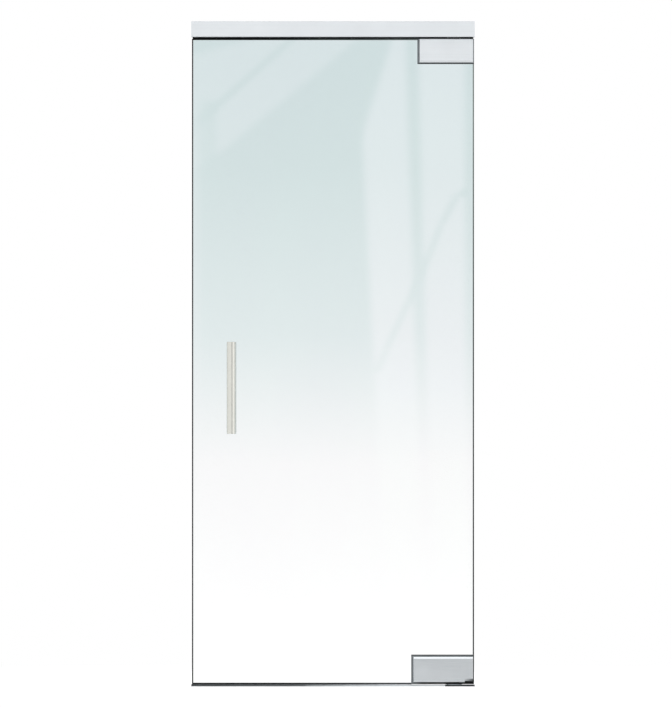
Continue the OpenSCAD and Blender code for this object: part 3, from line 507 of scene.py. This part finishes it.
def add_backing(x0, x1, half_w, root_z, tip_z):
    """Woven backing: a thin bar with soft edges, level with the tufts' roots."""
    towards_tip = 1 if tip_z > root_z else -1
    middle = ((x0 + x1) / 2, 0, root_z + towards_tip * BACKING_T / 2)
    bpy.ops.object.select_all(action="DESELECT")
    bpy.ops.mesh.primitive_cube_add(size=1, location=middle, scale=(x1 - x0, 2 * half_w, BACKING_T))
    backing = bpy.context.active_object
    bpy.ops.object.transform_apply(location=True, rotation=True, scale=True)
    bpy.ops.object.mode_set(mode="EDIT")
    bpy.ops.mesh.select_all(action="SELECT")
    bpy.ops.mesh.bevel(offset=BACKING_BEVEL, segments=2)
    bpy.ops.object.mode_set(mode="OBJECT")
    return backing


def add_pile_brush(name, node, slot):
    """The weatherstrip that stands for a plain pile node, in as many runs as the node has."""
    low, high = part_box(node)
    ends = sorted({round(vertex.co.x, END_DECIMALS) for vertex in nodes[node].data.vertices})
    hangs = low.z > pane_high.z
    root_z, tip_z = (high.z, pane_high.z + TIP_GAP) if hangs else (low.z, pane_low.z - TIP_GAP)
    parts = []
    for x0, x1 in zip(ends[::2], ends[1::2]):
        tufts = add_tufts(x0, x1, root_z, tip_z)
        trim_tips(tufts, root_z, tip_z)
        parts += [tufts, add_backing(x0, x1, high.y, root_z, tip_z)]
    bpy.ops.object.select_all(action="DESELECT")
    for part in parts:
        part.select_set(True)
    bpy.context.view_layer.objects.active = parts[0]
    bpy.ops.object.join()
    brush = bpy.context.active_object
    brush.name = name
    brush.data.materials.clear()
    brush.data.materials.append(finishes[slot])
    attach(brush, "frame")
    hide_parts(node)


add_pile_brush("header_pile_brush", "pile_strip", "pile")
add_pile_brush("threshold_pile_brush", "threshold_pile", "grey_pile")


# Camera: straight on, far off with a long lens, so that the door stands as in an elevation
CAMERA_DISTANCE = 42.0
SENSOR = 36.0
frame_h = PHOTO_H * metres_per_px
camera_x = (PHOTO_W / 2 - (LEAF_LEFT_PX + LEAF_RIGHT_PX) / 2) * metres_per_px
camera_z = (FLOOR_PX - PHOTO_H / 2) * metres_per_px
bpy.ops.object.camera_add(
    location=(camera_x, -CAMERA_DISTANCE, camera_z), rotation=(math.radians(90), 0, 0)
)
camera = bpy.context.active_object
camera.data.sensor_width = SENSOR
camera.data.lens = SENSOR * CAMERA_DISTANCE / frame_h
camera.data.clip_end = 4 * CAMERA_DISTANCE
bpy.context.scene.camera = camera
bpy.context.scene.view_settings.view_transform = "Standard"


def seen_rays(tree):
    """1 on rays that show a surface to the eye: straight, mirrored or through glass."""
    rays = add_node(tree, "ShaderNodeLightPath").outputs
    kinds = ("Is Camera Ray", "Is Glossy Ray", "Is Transmission Ray")
    return combine(tree, "MAXIMUM", *(rays[kind] for kind in kinds))


# World: white to the eye, in metal and through glass, and a soft grey fill on the surfaces
FILL_LEVEL = 0.8
world = bpy.data.worlds.new("studio")
bpy.context.scene.world = world
world.use_nodes = True
studio = world.node_tree
studio.nodes.clear()
fill = add_node(studio, "ShaderNodeBackground", {"Color": to_linear(WHITE), "Strength": FILL_LEVEL})
white = add_node(studio, "ShaderNodeBackground", {"Color": to_linear(WHITE), "Strength": 1.0})
sky = add_node(studio, "ShaderNodeMixShader", {
    0: seen_rays(studio), 1: fill.outputs[0], 2: white.outputs[0],
})
add_node(studio, "ShaderNodeOutputWorld", {"Surface": sky.outputs[0]})


# Floor: pale and plain. Its own glow lifts it to white for the eye, shadows still darken it near the
# door, and further off it passes into the white of the studio.
FLOOR_SIZE = 14.0
FLOOR_GLOW = 0.3
FLOOR_NEAR, FLOOR_FAR = 1.2, 3.0


def floor_finish():
    material, tree, place = start_material("floor_pale_matt")
    clouds = noise_at(tree, place, [900 * MM] * 3)
    colour = add_node(tree, "ShaderNodeMix", {
        0: clouds, MIX_A: to_linear("#E6E6E6"), MIX_B: to_linear("#EAEAEA"),
    }, data_type="RGBA").outputs[MIX_OUT]
    matt = add_node(tree, "ShaderNodeBsdfDiffuse", {"Color": colour})
    glow = add_node(tree, "ShaderNodeEmission", {"Color": to_linear(WHITE), "Strength": FLOOR_GLOW})
    lit = add_node(tree, "ShaderNodeAddShader", {0: matt.outputs[0], 1: glow.outputs[0]})
    white = add_node(tree, "ShaderNodeEmission", {"Color": to_linear(WHITE), "Strength": 1.0})
    away = add_node(tree, "ShaderNodeVectorMath", {0: place}, operation="LENGTH")
    far = add_node(tree, "ShaderNodeMapRange", {
        "Value": away.outputs["Value"], "From Min": FLOOR_NEAR, "From Max": FLOOR_FAR,
    }, interpolation_type="SMOOTHSTEP")
    seen = add_node(tree, "ShaderNodeMixShader", {
        0: far.outputs["Result"], 1: lit.outputs[0], 2: white.outputs[0],
    })
    shown = add_node(tree, "ShaderNodeMixShader", {
        0: seen_rays(tree), 1: matt.outputs[0], 2: seen.outputs[0],
    })
    add_node(tree, "ShaderNodeOutputMaterial", {"Surface": shown.outputs[0]})
    return material


bpy.ops.object.select_all(action="DESELECT")
bpy.ops.mesh.primitive_plane_add(size=FLOOR_SIZE)
floor = bpy.context.active_object
floor.name = "floor"
floor.data.materials.append(floor_finish())
# Through the pane the white studio shows in its place
floor.visible_transmission = False


def add_card(name, width, height, place, faces, material):
    """Studio card that lights nothing and casts no shadow, and is shown only where that is asked for."""
    bpy.ops.object.select_all(action="DESELECT")
    bpy.ops.mesh.primitive_plane_add(size=1, location=place)
    card = bpy.context.active_object
    card.name = name
    card.scale = (width, height, 1)
    card.rotation_euler = Vector(faces).to_track_quat("Z", "Y").to_euler()
    card.data.materials.append(material)
    for ray in ("camera", "diffuse", "glossy", "transmission", "volume_scatter", "shadow"):
        setattr(card, "visible_" + ray, False)
    return card


def close_glow(tree, colour, strength):
    """Ends a material that only glows."""
    glow = add_node(tree, "ShaderNodeEmission", {"Color": colour, "Strength": strength})
    add_node(tree, "ShaderNodeOutputMaterial", {"Surface": glow.outputs[0]})


# Far room behind the pane, a glowing card seen only through it, whose painted light stands for the pane's
# reflections: pale above and white below, with slanted and upright light bands
ROOM_LEVEL = 1.4
ROOM_DARK = (
    (0.0, "#CBD3D2"), (0.2, "#CFD6D4"), (0.46, "#DEE0DE"),
    (0.54, "#E8E6E4"), (0.66, "#F7EFED"), (0.9, "#FFF7F4"),
)
ROOM_LIGHT = (
    (0.0, "#D9DCDC"), (0.2, "#DDDFDE"), (0.46, "#E9E6E5"),
    (0.54, "#EEEAE9"), (0.66, "#F8F1EE"), (0.9, "#FFF7F4"),
)
BAND_EDGE = 0.018
LINE_HALF = 0.011
STROKE_END = 0.006
# Places on the pane are metres across from its left edge and metres down from its top
UPPER_SLANT = ((0, 0.444), (0.538, 0))
THIN_SLANT = ((0, 0.288), (0.325, 0))
SLANT_LIGHT = 0.6
DARK_STROKE = ((0.912, 0.48), (0.856, 0.514), (0.807, 0.603), (0.75, 0.749), (0.629, 1.008), (0.6, 1.08))
STROKE_SHADE = 0.8
# A patch of light or shade: how strong it is, a point inside it, and the lines that bound it
MIDDLE_BAND = (
    1.0, (0.64, 0.3),
    ((0.551, 0.308), (0.649, 0.006)), ((0.551, 0.308), (0.59, 1.054)), ((0.692, 0), (0.715, 0.75)),
)
RIGHT_BAND = (1.0, (0.8, 0.3), ((0.732, 0), (0.752, 0.75)), ((0.885, 0), (0.885, 1)))
LEFT_LIGHT = (0.4, (0, 0), ((0.048, 0), (0.048, 1)))
CORNER_SHADE = (0.6, (0, 0), ((0, 0.05), (0.2, 0)))
LEFT_SHADE = (0.4, (0.05, 1), ((0.025, 0), (0.025, 1)), ((0.08, 0), (0.08, 1)), ((0, 0.2), (1, 0.2)))


def side_of(tree, spot, start, end, inside, edge=BAND_EDGE):
    """1 on the side of a line where inside lies, 0 on its other side, with a soft edge."""
    along = Vector(end) - Vector(start)
    across = Vector((-along.y, along.x)).normalized()
    if across.dot(Vector(inside) - Vector(start)) < 0:
        across.negate()
    reach = add_node(tree, "ShaderNodeVectorMath", {
        0: spot, 1: (across.x, across.y, 0),
    }, operation="DOT_PRODUCT")
    level = across.dot(Vector(start))
    return add_node(tree, "ShaderNodeMapRange", {
        "Value": reach.outputs["Value"], "From Min": level - edge, "From Max": level + edge,
    }, interpolation_type="SMOOTHSTEP").outputs["Result"]


def soft_line(tree, spot, start, end):
    """1 along a thin soft line, falling to 0 beside it."""
    along = Vector(end) - Vector(start)
    across = Vector((-along.y, along.x)).normalized() * LINE_HALF
    middle = (Vector(start) + Vector(end)) / 2
    sides = [
        side_of(tree, spot, Vector(start) + turn * across, Vector(end) + turn * across, middle, LINE_HALF)
        for turn in (-1, 1)
    ]
    return combine(tree, "MULTIPLY", *sides)


def soft_stroke(tree, spot, points):
    """1 along a bent soft line whose points run downwards, falling to 0 beside it and past its ends."""
    pieces = []
    for start, end in zip(points, points[1:]):
        middle = (Vector(start) + Vector(end)) / 2
        pieces.append(combine(
            tree, "MULTIPLY", soft_line(tree, spot, start, end),
            side_of(tree, spot, start, (start[0] + 1, start[1]), middle, STROKE_END),
            side_of(tree, spot, end, (end[0] + 1, end[1]), middle, STROKE_END),
        ))
    return combine(tree, "MAXIMUM", *pieces)


def soft_patch(tree, spot, strength, inside, *lines):
    """A patch with soft edges, as strong as is said inside it and 0 outside."""
    sides = [side_of(tree, spot, start, end, inside) for start, end in lines]
    return combine(tree, "MULTIPLY", *sides, strength)


def painted_reflection_card():
    material, tree, place = start_material("painted_reflection_card")
    spot = add_node(tree, "ShaderNodeMapping", {
        "Vector": place, "Location": (pane_w / 2, pane_h / 2, 0), "Scale": (pane_w, -pane_h, 1),
    }).outputs["Vector"]
    slant = combine(
        tree, "SUBTRACT",
        side_of(tree, spot, *UPPER_SLANT, inside=(0, 0)), soft_line(tree, spot, *THIN_SLANT),
    )
    light = combine(
        tree, "MAXIMUM", combine(tree, "MULTIPLY", slant, SLANT_LIGHT),
        *(soft_patch(tree, spot, *patch) for patch in (MIDDLE_BAND, RIGHT_BAND, LEFT_LIGHT)),
    )
    stroke = combine(tree, "MULTIPLY", soft_stroke(tree, spot, DARK_STROKE), STROKE_SHADE)
    light = combine(
        tree, "SUBTRACT", light, stroke,
        *(soft_patch(tree, spot, *patch) for patch in (CORNER_SHADE, LEFT_SHADE)),
    )
    drop = share_along(tree, spot, "Y", 0, pane_h)
    dark_tone, light_tone = (
        add_node(tree, "ShaderNodeValToRGB", {"Fac": drop}, stops=stops).outputs["Color"]
        for stops in (ROOM_DARK, ROOM_LIGHT)
    )
    tone = add_node(tree, "ShaderNodeMix", {
        0: light, MIX_A: dark_tone, MIX_B: light_tone,
    }, data_type="RGBA").outputs[MIX_OUT]
    close_glow(tree, tone, ROOM_LEVEL)
    return material


# The room's card stands as far behind the pane as the camera stands before it. It is twice the pane's
# size, so that it just fills the pane for the camera.
ROOM_SCALE = 2.0
pane_middle = (pane_low + pane_high) / 2
room_place = (
    camera_x + ROOM_SCALE * (pane_middle.x - camera_x),
    (ROOM_SCALE - 1) * CAMERA_DISTANCE,
    camera_z + ROOM_SCALE * (pane_middle.z - camera_z),
)
room = add_card(
    "painted_reflection_card", ROOM_SCALE * pane_w, ROOM_SCALE * pane_h, room_place, (0, -1, 0), painted_reflection_card(),
)
room.visible_transmission = True


# Cards that only metal and glass mirror. Each lies so many degrees to the right of the front and so
# many above the level, and its width and height are angles too, seen from the front pull. The last
# value is its strength.
CARD_DISTANCE = 20.0
CARDS = (
    ("bright_strip", 53, 0, 14, 60, 1.45),
    ("grey_strip", 16, 0, 36, 60, 0.68),
    ("dark_strip", 126, 0, 46, 60, 0.3),
    ("upper_strip", 0, 15, 100, 12, 2.0),
)
pull_low, pull_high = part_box("front_pull_tube")
pull_middle = (pull_low + pull_high) / 2


def add_mirror_card(name, bearing, rise, wide, tall, strength):
    """A white card that faces the front pull and shows only in mirroring surfaces."""
    turn, lift = math.radians(bearing), math.radians(rise)
    away = Vector((math.sin(turn) * math.cos(lift), -math.cos(turn) * math.cos(lift), math.sin(lift)))
    width, height = (2 * CARD_DISTANCE * math.tan(math.radians(angle) / 2) for angle in (wide, tall))
    material, tree, _ = start_material(name)
    close_glow(tree, to_linear(WHITE), strength)
    card = add_card(name, width, height, pull_middle + away * CARD_DISTANCE, -away, material)
    card.visible_glossy = True


for card_values in CARDS:
    add_mirror_card(*card_values)


# Lamps: a broad key from the upper right, a fill from the left and a soft top light. Each has its place,
# the side of its square and its power.
LAMP_TARGET = Vector((0, 0, 1.0))
SOFTBOXES = (
    ("key", (2.6, -4.2, 3.6), 2.4, 80),
    ("fill", (-3.4, -3.6, 1.8), 2.4, 40),
    ("top", (0.4, 1.2, 4.6), 3.0, 45),
)
for name, lamp_place, side, power in SOFTBOXES:
    bpy.ops.object.light_add(type="AREA", location=lamp_place)
    lamp = bpy.context.active_object
    lamp.name = name
    lamp.rotation_euler = (LAMP_TARGET - Vector(lamp_place)).to_track_quat("-Z", "Y").to_euler()
    lamp.data.size = side
    lamp.data.energy = power
    lamp.visible_glossy = False
    lamp.visible_transmission = False
